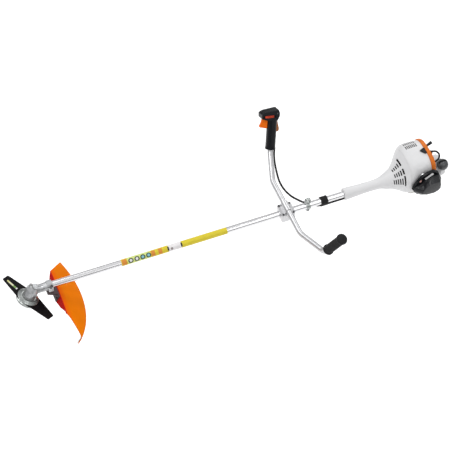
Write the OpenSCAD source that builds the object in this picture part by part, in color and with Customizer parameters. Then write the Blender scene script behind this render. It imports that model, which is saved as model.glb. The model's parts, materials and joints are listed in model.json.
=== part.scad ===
// Brush cutter with a bicycle handlebar, an angled gearhead and a two-stroke engine.
// Frame: +X runs along the drive tube towards the engine, +Z is up, and +Y is the operator's right.
// The origin is the centre of the hole in the carrying eyelet. Positions below are measured from
// the tube's axis at the eyelet, and on_tube() lowers them to that origin.

/* [Drive tube] */
// Outer diameter of the drive tube
tube_d = 25.4; // [24:0.2:26]
// Wall thickness of the drive tube
tube_wall = 1.5; // [1:0.1:2.5]
// Height of the eyelet's hole over the tube's axis
eyelet_h = 28; // [27:0.5:34]
// Diameter of the carrying hole
eyelet_hole_d = 18; // [14:1:18]
// Diameter of the drive shaft
shaft_d = 8; // [7:0.5:8]

/* [Gearhead] */
// Distance from the eyelet forward to the point where the two gear axes meet
head_reach = 1100; // [1000:10:1300]
// Angle between the output spindle and the vertical
head_tilt = 30; // [25:1:35]
// Teeth on the crown gear
crown_teeth = 21; // [18:1:24]
// Teeth on the pinion
pinion_teeth = 15; // [12:1:16]

/* [Cutting tool] */
// Diameter across the tips of the blade
blade_d = 230; // [200:5:250]
// Thickness of the blade
blade_t = 2; // [1.6:0.2:3]
// Rest angle of the blade about the spindle
blade_angle = -56; // [-90:1:90]
// Radius of the deflector's outer rim
guard_r = 239; // [230:1:250]

/* [Handlebar] */
// Outer diameter of the handlebar
bar_d = 22; // [20:0.5:22]
// Distance from the eyelet forward to the handlebar
bar_x = 89; // [80:1:120]
// Height of the handlebar over the tube's axis
bar_h = 30; // [29:0.5:34]
// Length of the rubber grip
grip_len = 126; // [110:1:130]

/* [Engine] */
// Bore of the cylinder
bore_d = 34; // [32:0.5:34]
// Stroke of the piston
stroke = 30; // [26:1:30]
// Wall thickness of the engine covers
cover_wall = 3; // [2.5:0.1:4]

/* [Hidden] */
$fn = 48;

eps = 0.02;              // gap between two surfaces that touch
run_fit = 0.05;          // radial clearance of a turning fit
cut = 1;                 // overshoot of a cutting shape

tube_r = tube_d / 2;
tube_bore_r = tube_r - tube_wall;
shaft_r = shaft_d / 2;
tube_front = -head_reach + 46;
tube_rear = 312;

socket_end = 78;         // end of the gearbox socket, from the gear axes
socket_r = 17;
neck_r = 16;
head_r = 23.5;
head_floor = -29;        // lower face of the gearbox along the spindle
spindle_r = 6;
stud_r = 5;
head_bearing_r = 16;
pinion_bearing_r = 12;
pinion_shaft_r = 5;
blade_top = -36.5;
arbor_r = 12.65;

cone_sum = 180 - (90 - head_tilt);
gear_module = 1.6;
crown_pitch_r = crown_teeth * gear_module / 2;
pinion_cone = atan(sin(cone_sum) / (crown_teeth / pinion_teeth + cos(cone_sum)));
crown_cone = cone_sum - pinion_cone;
cone_dist = crown_pitch_r / sin(crown_cone);
tooth_face = 6;
tooth_w = 1.3;
tooth_up = 1.2;
tooth_down = 1.5;

bar_r = bar_d / 2;
grip_bend = [-47, 266, 54];             // corner of the bar under the right hand
grip_dir = [0.208, 0.400, 0.892];       // direction of the bar's upper end
grip_tilt = acos(grip_dir[2]);
grip_turn = atan2(grip_dir[1], grip_dir[0]);
ctrl_low = 10;              // lower end of the control handle, up the bar
ctrl_neck = 134;            // upper end of its grip
ctrl_screws = [[13, 40, 13], [13, 66, 13], [14, 160, 16.5]];   // along X, up the handle, and depth of the head
trigger_pin = [-28, 147];
lock_pin = [16.5, 125];
lever_pin_r = 2;
clamp_size = [56, 58];      // of the clamp's flanges, along and across the tube
clamp_screw = [21, 23];     // places of its four screws
clamp_split = 14;           // height where its two halves meet
clamp_top = 19;             // height of the upper half's flanges
saddle_r = 14.5;            // outside of the saddle round the handlebar

crank_x = 448;           // plane of the cylinder's axis
crank_pin_z = stroke / 2;
bore_r = bore_d / 2;
bearing_r = 16;
crank_r = 6;
hub_r = 7.5;

steel = "silver";
cast = "darkgray";
white = "gainsboro";
orange = "darkorange";
black = [0.12, 0.12, 0.13];

// Engine cover sections: [x, section centre y, section centre z, half width, half height, squareness]
COVER = [
  [150, 0, 0, 21.5, 21.5, 2], [153, 0, 0, 24, 24, 2], [163, 0, 0, 23.8, 23.8, 2], [235, 0, 0, 20.5, 20.5, 2],
  [298, 0, 0, 22, 22, 2], [325, 0, 0, 31, 31, 2], [340, 1, 1, 36.5, 36.5, 2], [356, 1, 2, 43.5, 43.5, 2],
  [374, 3, 5, 56, 56, 2.1], [391, 6, 12, 71, 72, 2.4], [404, 10, 20, 80, 81, 2.7], [418, 12, 25, 84, 85, 2.9],
  [436, 13, 26, 84, 86, 3], [470, 12, 26, 83, 87, 3], [497, 11, 26, 80, 86, 3], [506, 10, 26, 78, 83, 3]
];

// Route of the throttle cable, from the control handle to the engine's neck
CABLE = [
  [-30.1, 262.8, 62.4], [-34, 255, 46], [-38, 244, 36], [-44, 224, 28], [-52, 186, 19], [-58, 142, 11],
  [-55, 100, 7], [-42, 64, 3], [-24, 38, 1], [-7, 21, -2], [9, 17, -9], [26, 7, -16.4], [42, -3, -16.6],
  [58, -8, -14.8], [80, -9, -14], [115, -9, -14], [149.9, -9, -14]
];
cable_r = 3;
cover_n = 32;            // corners of one section of the cover

// Route of the ignition lead, from the spark plug's boot into the starter housing
LEAD = [
  [516, 0, 98], [530, -6, 99], [541, -10, 88], [546, -12, 70], [540, -14, 54], [522, -16, 49], [505, -18, 54]];

guard_t = 3;
guard_axis = [-130, 10];
guard_front = 103;       // distance from the spindle to the front wall
// Roof and rim of the deflector: [distance from its own axis, height]
guard_profile = [
  [215, 12], [233, 12], [258, 8], [300, -1], [330, -8], [346, -13], [352, -20], [352.5, -50]];
guard_plan = [
  [guard_front, -108], [110, -114], [119, -129], [129, -156], [137, -178], [145, -204], [220, -330],
  [420, -330], [420, 378], [263, 236], [109, 98], [guard_front, 92]];
guard_bolts = [-23, 23];

// Sides of the air filter's housing and cover, along the tube and up
filter_outline = [
  [399, 18], [412, 48], [430, 76], [456, 92], [485, 95], [503, 80], [515, 50], [518, 20], [516, 0],
  [510, -17], [497, -27], [476, -30], [440, -22], [414, -4]];
cover_outline = [
  [399, 18], [410, 37], [428, 40], [436, 45], [445, 55], [460, 66], [472, 74], [506, 69], [515, 50],
  [518, 20], [516, 0], [510, -17], [497, -27], [476, -30], [440, -22], [414, -4]];
choke_at = [475, 82.5];
primer_at = [430, 54];

tank_size = [118, 78, 42];

// ---------- placing ----------

module on_tube(x = 0) {
  translate([x, 0, -eyelet_h]) children();
}

module along_tube(x = 0) {
  on_tube(x) rotate([0, 90, 0]) children();
}

module at_head() {
  on_tube(-head_reach) rotate([0, head_tilt, 0]) children();
}

// Local +Z runs up the end of the handlebar; side is 1 on the right and -1 on the left.
module at_grip(side) {
  on_tube() translate([grip_bend[0], side * grip_bend[1], grip_bend[2]])
    rotate([0, grip_tilt, side * grip_turn]) rotate([0, 0, -side * grip_turn]) children();
}

// ---------- shapes ----------

module ring(r_out, r_in, h) {
  difference() {
    cylinder(r = r_out, h = h);
    translate([0, 0, -cut]) cylinder(r = r_in, h = h + 2 * cut);
  }
}

module rounded_bar(size, r) {
  linear_extrude(size[2]) square_round([size[0], size[1]], r);
}

module square_round(size, r) {
  square([size[0] - 2 * r, size[1]], center = true);
  square([size[0], size[1] - 2 * r], center = true);
  for (sx = [-1, 1], sy = [-1, 1])
    translate([sx * (size[0] / 2 - r), sy * (size[1] / 2 - r)]) circle(r = r);
}

module cap_screw(r, head_len, shank_len) {
  difference() {
    cylinder(r = r * 1.7, h = head_len);
    translate([0, 0, head_len / 2]) cylinder(r = r * 0.85, h = head_len, $fn = 6);
  }
  translate([0, 0, -shank_len]) cylinder(r = r, h = shank_len);
}

// Points of a circle of radius r about p, square to direction d
function unit(v) = v / norm(v);
function side_of(d) = unit(cross(d, abs(d[2]) > 0.9 ? [1, 0, 0] : [0, 0, 1]));
function rim(p, d, r, n) =
  let (a = side_of(d), b = cross(d, a))
  [for (i = [0:n - 1]) p + r * (cos(360 * i / n) * a + sin(360 * i / n) * b)];
function heading(path, i) =
  unit(path[min(i + 1, len(path) - 1)] - path[max(i - 1, 0)]);

// Catmull-Rom curve through the points of a path, with a number of steps in each span
function curve(path, steps) = concat(
  [for (i = [0:len(path) - 2], k = [0:steps - 1])
    let (t = k / steps, p0 = path[max(i - 1, 0)], p1 = path[i], p2 = path[i + 1],
      p3 = path[min(i + 2, len(path) - 1)])
    0.5 * (2 * p1 + (p2 - p0) * t + (2 * p0 - 5 * p1 + 4 * p2 - p3) * t * t
      + (3 * p1 - p0 - 3 * p2 + p3) * t * t * t)],
  [path[len(path) - 1]]);

// A closed solid whose rings all have n points
module skin(rings, n) {
  last = len(rings) - 1;
  polyhedron(
    points = [for (g = rings) each g],
    faces = concat(
      [[for (i = [0:n - 1]) i]],
      [[for (i = [n - 1:-1:0]) last * n + i]],
      [for (g = [0:last - 1], i = [0:n - 1])
        let (a = g * n + i, b = g * n + (i + 1) % n)
        each [[a, a + n, b + n], [a, b + n, b]]]));
}

module swept_tube(path, r, n) {
  skin([for (i = [0:len(path) - 1]) rim(path[i], heading(path, i), r, n)], n);
}

function power(c, e) = sign(c) * pow(abs(c), e);

// One section of the engine cover, shrunk by inset
function cover_ring(s, inset, n) = [for (i = [0:n - 1])
  let (a = 360 * i / n, e = 2 / s[5])
  [s[0], s[1] + (s[3] - inset) * power(cos(a), e), s[2] + (s[4] - inset) * power(sin(a), e)]];

module cover_body(from, to, inset) {
  rows = [for (s = COVER) if (s[0] >= from && s[0] <= to) s];
  skin([for (s = rows) cover_ring(s, inset, cover_n)], cover_n);
}

// ---------- gearhead ----------

module bevel_gear(teeth, cone, phase, back, bore) {
  along = [sin(cone), cos(cone)];
  out = [cos(cone), -sin(cone)];
  outer = cone_dist * along;
  inner = (cone_dist - tooth_face) * along;
  root_out = outer - tooth_down * out;
  root_in = inner - tooth_down * out;
  difference() {
    union() {
      rotate_extrude() polygon([
        [0, root_in[1]], root_in, root_out, [root_out[0], back], [0, back]]);
      for (i = [0:teeth - 1])
        rotate([0, 0, phase + 360 * i / teeth]) rotate([90, 0, 0])
          linear_extrude(tooth_w, center = true) polygon([
            root_in - 0.5 * out, root_out - 0.5 * out, outer + tooth_up * out, inner + tooth_up * out]);
    }
    translate([0, 0, -cut]) cylinder(r = bore, h = back + 2 * cut);
  }
}

module gearbox_housing() color(cast) at_head() difference() {
  union() {
    translate([0, 0, head_floor]) cylinder(r = head_r, h = 33);
    translate([0, 0, 4]) cylinder(r1 = head_r, r2 = 15, h = 16);
    translate([0, 0, head_floor]) cylinder(r = head_r + 1.5, h = 5);
    for (a = [60:60:300])
      rotate([0, 0, a]) translate([head_r - 4, -2, head_floor]) cube([5.5, 4, 36]);
    translate([5, 0, 15]) cylinder(r = 13, h = 11);
    at_plug() cylinder(r = 6.5, h = 13.5);
    rotate([0, 90 - head_tilt, 0]) {
      cylinder(r = neck_r, h = 44);
      translate([0, 0, 38]) cylinder(r1 = neck_r, r2 = socket_r, h = 8);
      translate([0, 0, 46]) cylinder(r = socket_r, h = socket_end - 46);
      translate([-8, -socket_r - 7, 58]) cube([16, 12, 18]);
      translate([-17.5, -3, 20]) cube([6, 6, 30]);
      rotate([0, 0, 260]) translate([neck_r - 1.5, -2, 14]) cube([3.5, 4, 34]);
    }
  }
  translate([0, 0, head_floor - cut]) cylinder(r = head_bearing_r + eps, h = 19 + cut);
  translate([0, 0, -10 - eps]) cylinder(r = 19.5, h = 20);
  rotate([0, 90 - head_tilt, 0]) {
    translate([0, 0, 2]) cylinder(r = 14, h = 14.9);
    translate([0, 0, 10]) cylinder(r = pinion_bearing_r + eps, h = 37);
    translate([0, 0, 46 - eps]) cylinder(r = tube_r + eps, h = 40);
    translate([-0.75, -tube_r - 18, 48]) cube([1.5, 20, 40]);
    translate([-20, -socket_r - 2, 67]) rotate([0, 90, 0]) cylinder(r = 2.6, h = 40);
    // groove along the neck
    rotate([0, 0, 236]) translate([neck_r - 1.2, -1.4, 17]) cube([6, 2.8, 28]);
    // counterbore and thread of the screw that locates the tube
    at_locating_screw() cylinder(r = 4.3, h = 12);
    at_locating_screw() translate([0, 0, -6]) cylinder(r = 2.5 + eps, h = 8);
  }
  at_plug() cylinder(r = 4 + eps, h = 30);
}

// Seat of the grease plug, on the forward right shoulder of the gearbox
module at_plug() {
  rotate([0, 0, 125]) translate([8, 0, 8]) rotate([0, 40, 0]) children();
}

// Seat of the screw through the socket's wall, in the socket's own axes
module at_locating_screw() {
  rotate([0, 0, 232]) translate([socket_r - 0.6, 0, 73]) rotate([0, 90, 0]) children();
}

module grease_plug() color(steel) at_head() at_plug() {
  translate([0, 0, 2]) cylinder(r = 4, h = 13);
  translate([0, 0, 13.5 + eps]) cylinder(r = 5.5, h = 4, $fn = 6);
}

module pinion_gear() color(steel) along_tube(-head_reach) {
  bevel_gear(pinion_teeth, pinion_cone, 180 / pinion_teeth, 14, 0.9);
  difference() {
    translate([0, 0, 13.9]) cylinder(r = pinion_shaft_r, h = 31);
    translate([0, 0, 36]) cylinder(r = shaft_r + eps, h = 20);
  }
}

module crown_gear() color(steel) at_head() mirror([0, 0, 1])
  bevel_gear(crown_teeth, crown_cone, 0, 9.5, spindle_r + eps);

module output_spindle() color(steel) at_head() {
  translate([0, 0, -39]) cylinder(r = spindle_r, h = 39 - 4.6);
  translate([0, 0, -56]) cylinder(r = stud_r, h = 17);
}

module gearbox_bearings() color("lightsteelblue") {
  at_head() for (z = [-18.2, -28.6])
    translate([0, 0, z]) ring(head_bearing_r, spindle_r + run_fit, 7.8);
  along_tube(-head_reach) for (x = [17, 27])
    translate([0, 0, x]) ring(pinion_bearing_r, pinion_shaft_r + run_fit, 7);
}

module thrust_plate() color(steel) at_head() difference() {
  rotate_extrude() polygon([
    [spindle_r + eps, -38.4], [arbor_r, -38.4], [arbor_r, blade_top], [42, blade_top], [42, -34.8],
    [38, -32.6], [30, -30.6], [29, -29.9], [spindle_r + eps, -29.9]]);
  for (a = [0:120:359])
    rotate([0, 0, a]) translate([24, 0, blade_top - cut]) cylinder(r = 2.5, h = 3);
}

module blade() color(black) at_head() rotate([0, 0, blade_angle])
  translate([0, 0, blade_top - blade_t]) difference() {
    linear_extrude(blade_t) polygon([
      [-blade_d / 2, -15], [-blade_d / 2 + 3, -18], [-20, -37], [20, -37], [blade_d / 2 - 3, -18],
      [blade_d / 2, -15], [blade_d / 2, 15], [blade_d / 2 - 3, 18], [20, 37], [-20, 37],
      [-blade_d / 2 + 3, 18], [-blade_d / 2, 15]]);
    translate([0, 0, -cut]) cylinder(r = arbor_r + run_fit, h = blade_t + 2 * cut);
  }

module rider_plate() color(steel) at_head() difference() {
  rotate_extrude() polygon([
    [stud_r + run_fit, -40.6], [20, -40.6], [20, blade_top - blade_t], [36, blade_top - blade_t], [43, -44.5],
    [43, -50], [37, -54.5], [22, -56.5], [17, -56.5], [17, -44], [stud_r + run_fit, -44]]);
  for (a = [0:60:359])
    rotate([0, 0, a]) translate([28, 0, -60]) cylinder(r = 3, h = 12);
}

module collar_nut() color(steel) at_head() translate([0, 0, -53]) difference() {
  union() {
    cylinder(r = 9.2, h = 9, $fn = 6);
    translate([0, 0, 6.5]) cylinder(r = 12, h = 2.5 - eps);
  }
  translate([0, 0, -cut]) cylinder(r = stud_r + eps, h = 12);
}

// ---------- deflector ----------

module guard_slab() {
  inner = [for (i = [len(guard_profile) - 1:-1:0])
    guard_profile[i] - (i > 5 ? [guard_t, 0] : [0, guard_t])];
  translate([guard_axis[0], guard_axis[1], 0]) rotate([0, 0, -50])
    rotate_extrude(angle = 90) polygon(concat(guard_profile, inner));
}

// Holes along the head's own X axis
module bolt_holes() {
  for (v = guard_bolts)
    translate([guard_front - 8, v, -10]) rotate([0, 90, 0]) cylinder(r = 2.6, h = 20);
}

module deflector_shell() color(orange) at_head() difference() {
  union() {
    intersection() {
      guard_slab();
      translate([0, 0, -80]) linear_extrude(200) polygon(guard_plan);
    }
    translate([guard_front + 0.02, 0, 0]) rotate([90, 0, 90]) linear_extrude(guard_t) polygon([
      [-104, 6.4], [-60, 9.3], [0, 10.6], [50, 9.6], [88, 7.4], [88, 3], [70, -16], [24, -26], [-22, -27],
      [-66, -14]]);
  }
  bolt_holes();
}

module line_knife() color(steel) at_head() translate([guard_axis[0], guard_axis[1], -57])
  rotate([0, 0, -36.4]) translate([346.6, -6, 0]) cube([1.8, 12, 35]);

module deflector_bracket() color("slategray") at_head() difference() {
  union() {
    rotate([0, 90 - head_tilt, 0]) translate([0, 0, 57]) ring(socket_r + 3.5, socket_r + eps, 19);
    translate([58, -20, 2]) cube([guard_front - 58 - eps, 40, 9]);
    translate([58, -17, 10]) cube([22, 34, 10]);
    translate([guard_front - 4, -31, -22]) cube([4 - eps, 62, 33]);
  }
  rotate([0, 90 - head_tilt, 0]) {
    translate([0, 0, 40]) cylinder(r = socket_r + eps, h = 60);
    translate([-17, -46, 40]) cube([30, 40, 40]);
  }
  bolt_holes();
}

// ---------- drive tube ----------

module drive_tube() color("lightgray") along_tube(tube_front) ring(tube_r, tube_bore_r, tube_rear - tube_front);

module drive_shaft() color(steel) along_tube(-head_reach + 36.5)
  cylinder(r = shaft_r, h = 337 + head_reach - 36.5);

module shaft_bushes() color("ivory") for (x = [-790, -430, -70, 250])
  along_tube(x) ring(tube_bore_r - eps, shaft_r + run_fit, 22);

module carrying_eyelet() color("gray") on_tube() difference() {
  union() {
    translate([-8, 0, 0]) rotate([0, 90, 0]) cylinder(r = tube_r + 2.6, h = 16);
    translate([0, 6, eyelet_h]) rotate([90, 0, 0]) cylinder(r = eyelet_hole_d / 2 + 2.8, h = 12);
    translate([-7, -5, tube_r]) cube([14, 10, eyelet_h - tube_r - eyelet_hole_d / 2]);
    translate([-8, -5, -tube_r - 12]) cube([16, 10, 12]);
  }
  translate([-10, 0, 0]) rotate([0, 90, 0]) cylinder(r = tube_r + eps, h = 20);
  translate([0, 10, eyelet_h]) rotate([90, 0, 0]) cylinder(r = eyelet_hole_d / 2, h = 20);
  translate([-10, -0.75, -tube_r - 20]) cube([20, 1.5, 21]);
  translate([0, -10, -tube_r - 7]) rotate([-90, 0, 0]) cylinder(r = 2.6, h = 20);
}

module cable_clip() color(black) difference() {
  along_tube(53) {
    cylinder(r = tube_r + 2.4, h = 28);
    for (i = [0:2])
      translate([0, 0, 0.5 + i * 10]) cylinder(r = tube_r + 4.6, h = 7);
    translate([14, -8, 0]) cylinder(r = cable_r + 2.5, h = 28);
  }
  along_tube(40) cylinder(r = tube_r + eps, h = 50);
  on_tube() swept_tube(curve(CABLE, 2), cable_r + 0.05, 8);
}

module clamp_screws() color(black) {
  on_tube(-bar_x) for (sx = [-1, 1], sy = [-1, 1])
    translate([sx * clamp_screw[0], sy * clamp_screw[1], clamp_top]) cap_screw(2.5, 3, 34);
  on_tube() translate([0, -5, -tube_r - 7]) rotate([90, 0, 0]) cap_screw(2.5, 4, 10);
  at_head() rotate([0, 90 - head_tilt, 0]) translate([-8, -socket_r - 2, 67]) rotate([0, -90, 0])
    cap_screw(2.5, 4, 15);
  at_head() rotate([0, 90 - head_tilt, 0]) at_locating_screw() cap_screw(2.5, 4, 3.4);
  at_head() for (v = guard_bolts)
    translate([guard_front - 4, v, -10]) rotate([0, -90, 0]) cap_screw(2.5, 4, 10);
  at_grip(1) for (p = ctrl_screws)
    translate([p[0], -p[2], p[1]]) rotate([90, 0, 0]) cap_screw(1.5, 1.6, 22);
}

// ---------- handlebar ----------

// Room for the tube, the handlebar and the four screws
module clamp_room() {
  on_tube(-bar_x) translate([0, 0, bar_h]) rotate([90, 0, 0]) cylinder(r = bar_r + eps, h = 80, center = true);
  along_tube(-bar_x - 40) cylinder(r = tube_r + eps, h = 80);
  for (sx = [-1, 1], sy = [-1, 1])
    on_tube(-bar_x) translate([sx * clamp_screw[0], sy * clamp_screw[1], -30]) cylinder(r = 2.5 + eps, h = 80);
}

module handlebar_seat() color("lightgray") difference() {
  on_tube(-bar_x) {
    translate([0, 0, -18]) rounded_bar([clamp_size[0], clamp_size[1], clamp_split + 17.6], 7);
    translate([-bar_r + 0.7, -29, clamp_split - 1]) cube([2 * bar_r - 1.4, 58, 10]);
  }
  clamp_room();
}

module handlebar_cap() color("lightgray") difference() {
  on_tube(-bar_x) {
    translate([0, 0, clamp_split]) rounded_bar([clamp_size[0], clamp_size[1], clamp_top - clamp_split], 7);
    translate([0, 0, bar_h]) rotate([90, 0, 0]) cylinder(r = saddle_r, h = 46, center = true);
    translate([-saddle_r, -23, clamp_split]) cube([2 * saddle_r, 46, bar_h - clamp_split]);
  }
  on_tube(-bar_x) translate([-bar_r - eps, -40, clamp_split - 1])
    cube([2 * bar_r + 2 * eps, 80, bar_h - clamp_split + 1]);
  clamp_room();
}

// Centre line of one half of the bar, from the middle out
module bar_half(side) {
  c = grip_bend;
  top = c + 92 * grip_dir;
  a = [-bar_x, 122, bar_h];
  b = [-bar_x, 136, bar_h];
  d = unit(c - b);
  low = c - 22 * d;
  high = c + 22 * grip_dir;
  bend = [for (t = [0:0.125:1]) (1 - t) * (1 - t) * low + 2 * t * (1 - t) * c + t * t * high];
  knee = b + 14 * d;
  first = [for (t = [0:0.25:1]) (1 - t) * (1 - t) * a + 2 * t * (1 - t) * b + t * t * knee];
  path = concat([[-bar_x, 0, bar_h]], first, bend, [side > 0 ? top : c + 150 * grip_dir]);
  swept_tube([for (p = path) [p[0], side * p[1], p[2]]], bar_r, 20);
}

module handlebar() color("lightgray") on_tube() union() {
  bar_half(1);
  bar_half(-1);
}

module left_grip() color(black) at_grip(-1) difference() {
  union() {
    translate([0, 0, 30]) cylinder(r = 17, h = grip_len);
    for (z = [30, 30 + grip_len - 5])
      translate([0, 0, z]) cylinder(r = 21, h = 5);
    for (i = [0:8])
      translate([0, 0, 42 + i * 12]) cylinder(r = 18.2, h = 6);
    translate([0, 0, 30 + grip_len]) cylinder(r1 = 21, r2 = 16, h = 5);
  }
  translate([0, 0, 29]) cylinder(r = bar_r + 0.1, h = 122);
}

// ---------- control handle ----------

module control_solid() {
  translate([0, 0, ctrl_low]) cylinder(r1 = 21, r2 = 19.5, h = 9);
  translate([0, 0, ctrl_low]) rounded_bar([38, 34, ctrl_neck - ctrl_low], 15);
  rotate([90, 0, 0]) linear_extrude(36, center = true) polygon([
    [-20, 131], [-50, 142], [-51, 159], [-37, 166.5], [18, 174], [24, 161], [24, 148], [16, 131]]);
}

module control_hollow() {
  translate([0, 0, ctrl_low - cut]) cylinder(r1 = bar_r + 4.5, r2 = bar_r + 0.1, h = 15);
  cylinder(r = bar_r + 0.1, h = 94);
  // pockets of the trigger, the lock lever and the stop slide
  translate([-60, -6, 94.5]) cube([51, 12, 47.5]);
  translate([-46.5, -6, 141]) cube([37.5, 12, 15]);
  translate([12.2, -6, 76]) cube([20, 12, 56]);
  translate([-45, -19, 143.4]) cube([54, 6, 10.2]);
  for (p = ctrl_screws) {
    translate([p[0], -30, p[1]]) rotate([-90, 0, 0]) cylinder(r = 1.5 + eps, h = 60);
    translate([p[0], -30, p[1]]) rotate([-90, 0, 0]) cylinder(r = 2.6, h = 30 - p[2]);
  }
}

module control_half(side) {
  at_grip(1) difference() {
    intersection() {
      control_solid();
      translate([-60, side > 0 ? 0.1 : -40.1, 0]) cube([120, 40, 200]);
    }
    control_hollow();
  }
}

module control_shell_left() color(black) control_half(-1);

module control_shell_right() color(black) {
  control_half(1);
  at_grip(1) for (p = [trigger_pin, lock_pin])
    translate([p[0], 6.5, p[1]]) rotate([90, 0, 0]) cylinder(r = lever_pin_r, h = 12.3);
}

// A finger lever cut from a 10 mm plate, hung on one of the handle's pins
module finger_lever(outline, pin) {
  at_grip(1) difference() {
    rotate([90, 0, 0]) linear_extrude(10, center = true) polygon(outline);
    translate([pin[0], 0, pin[1]]) rotate([90, 0, 0])
      cylinder(r = lever_pin_r + run_fit, h = 30, center = true);
  }
}

module throttle_trigger() color(orange) finger_lever([
  [-21, 151], [-21, 100], [-24, 96.5], [-39, 100.5], [-50, 102.5], [-53.5, 105.5], [-51, 109],
  [-46, 120], [-43, 134], [-42, 146], [-34, 153], [-26, 153]], trigger_pin);

module lock_lever() color("chocolate") finger_lever([
  [13, 130], [13, 120], [19.4, 84], [19.4, 80], [27, 80], [29.5, 88], [29.5, 93], [24, 112],
  [20.5, 127], [18, 130]], lock_pin);

module stop_slide() color("tomato") at_grip(1) {
  translate([-36, -18.6, 144]) cube([36, 4.4, 9]);
  for (i = [0:4])
    translate([-31 + i * 6, -20, 145]) cube([2.6, 2, 7]);
}

module throttle_cable() color(black) on_tube() swept_tube(curve(CABLE, 3), cable_r, 8);

// ---------- engine covers ----------

// Groups of cooling slots round the cone: [slots, start and end angle, start and end of the last, longer slot]
module vent_slots() {
  for (g = [[5, 74, 92, 64, 94], [5, 106, 124, 105, 123], [6, 135, 162, 128, 168]], i = [6 - g[0]:5]) {
    from = i < 5 ? g[1] : g[3];
    to = i < 5 ? g[2] : g[4];
    along_tube(347.3 + 7 * i) rotate([0, 0, from + 90]) rotate_extrude(angle = to - from)
      translate([24, 0]) square([80, i < 5 ? 4.2 : 5]);
  }
}

module fan_housing() color(white) difference() {
  on_tube() cover_body(150, 404, 0);
  on_tube() cover_body(340, 404, cover_wall);
  along_tube(140) cylinder(r = tube_r + eps, h = 174);
  along_tube(313) cylinder(r = 9, h = 12);
  along_tube(322) cylinder(r = bearing_r + eps, h = 16);
  along_tube(336) cylinder(r = 32.5, h = 12);
  on_tube(403.7) translate([0, -150, -150]) cube([10, 300, 300]);
  vent_slots();
}

module engine_hood() color(white) difference() {
  on_tube() cover_body(404, 506, 0);
  on_tube() cover_inside();
  on_tube(420) translate([0, -34, -90]) cube([90, 94, 46]);
  on_tube(477) translate([0, 50, -95]) cube([46, 30, 49]);
  on_tube(crank_x) translate([0, -50, 62]) rotate([90, 0, 0]) cylinder(r = 11.5, h = 40);
  on_tube(432) translate([0, 70, 30]) cube([36, 60, 26]);
  for (row = [0, 1], i = [0:6])
    on_tube(423 + i * 7) translate([0, 34 + row * 23, 80]) cube([4.2, row > 0 ? 14 : 18, 40]);
}

module hood_latches() color(black) on_tube() {
  translate([0, 0, 113.1]) linear_extrude(5) polygon([
    [466, 6], [474, -5], [480, -13], [487.8, -12], [487.8, 13], [480, 13], [474, 10]]);
  difference() {
    translate([504, 26, 106]) rotate([0, 65, 7]) cylinder(r1 = 4.5, r2 = 6.4, h = 26);
    translate([490, 0, 90]) cube([16.1, 60, 40]);
  }
}

// The hollow of the hood, open at both ends
module cover_inside() {
  rows = [for (s = COVER) if (s[0] >= 404) s];
  first = rows[0];
  last = rows[len(rows) - 1];
  ends = concat([[first[0] - cut, each [for (i = [1:5]) first[i]]]], rows,
    [[last[0] + cut, each [for (i = [1:5]) last[i]]]]);
  skin([for (s = ends) cover_ring(s, cover_wall, cover_n)], cover_n);
}

module hood_band() color(orange) difference() {
  on_tube() band_body(488, 506, -4.2);
  on_tube() band_body(486, 508, -0.4);
  on_tube(480) translate([0, -120, -120]) cube([40, 240, 158]);
}

// The cover's section at any x
function cover_at(x) = [x, each [for (i = [1:5]) lookup(x, [for (s = COVER) [s[0], s[i]]])]];

module band_body(from, to, inset) {
  stations = [for (x = [from, (from + to) / 2, to]) cover_at(x)];
  skin([for (s = stations) cover_ring(s, inset, 48)], 48);
}

module starter_housing() color(white) on_tube() {
  difference() {
    union() {
      band_body(501, 504, cover_wall + 2);
      rotate([0, 90, 0]) translate([0, 0, 502]) cylinder(r = 44, h = 54);
      rotate([0, 90, 0]) translate([0, 0, 555.9]) cylinder(r1 = 44, r2 = 36, h = 6);
      translate([536, -55, 8]) cube([20, 22, 26]);
    }
    rotate([0, 90, 0]) translate([0, 0, 496]) cylinder(r = 39.5, h = 61);
    translate([490, -22, 62]) cube([30, 44, 40]);
    translate([546, -43, 0]) cylinder(r = 2.6, h = 40);
    translate([541, -46, 2]) cube([10, 20, 20]);
    translate([490, -50, -75]) cube([30, 110, 31]);
  }
  // post of the rope pulley
  rotate([0, 90, 0]) translate([0, 0, 540]) cylinder(r = crank_r - run_fit, h = 18);
}

// ---------- engine ----------

module crankcase() color(cast) on_tube() difference() {
  union() {
    rotate([0, 90, 0]) translate([0, 0, 404]) cylinder(r = 34, h = 86);
    translate([418, -30, 0]) cube([60, 60, 30 - eps]);
  }
  rotate([0, 90, 0]) {
    translate([0, 0, 400]) cylinder(r = 9, h = 100);
    translate([0, 0, 404 - cut]) cylinder(r = bearing_r + eps, h = 12 + cut);
    translate([0, 0, 478]) cylinder(r = bearing_r + eps, h = 12 + cut);
    translate([0, 0, 422]) cylinder(r = 25, h = 52);
  }
  translate([416, -40, 30 - eps]) cube([64, 80, 10]);
  translate([crank_x, 0, 0]) cylinder(r = bore_r + 0.5, h = 40);
}

module crank_bearings() color("lightsteelblue") {
  for (x = [405, 479])
    along_tube(x) ring(bearing_r, crank_r + run_fit, 10);
  along_tube(324) ring(bearing_r, hub_r + run_fit, 9);
}

module crankshaft() color(steel) {
  along_tube(368) cylinder(r = crank_r, h = 60);
  along_tube(424) cylinder(r = 22, h = 12);
  along_tube(460) cylinder(r = 22, h = 12);
  along_tube(471) cylinder(r = crank_r, h = 66);
  along_tube(430) translate([-crank_pin_z, 0, 0]) cylinder(r = 5, h = 40);
}

module cylinder_fins() {
  for (i = [0:6])
    translate([crank_x, 0, 42 + i * 6]) rounded_bar([62, 56, 2.4], 10);
}

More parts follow.
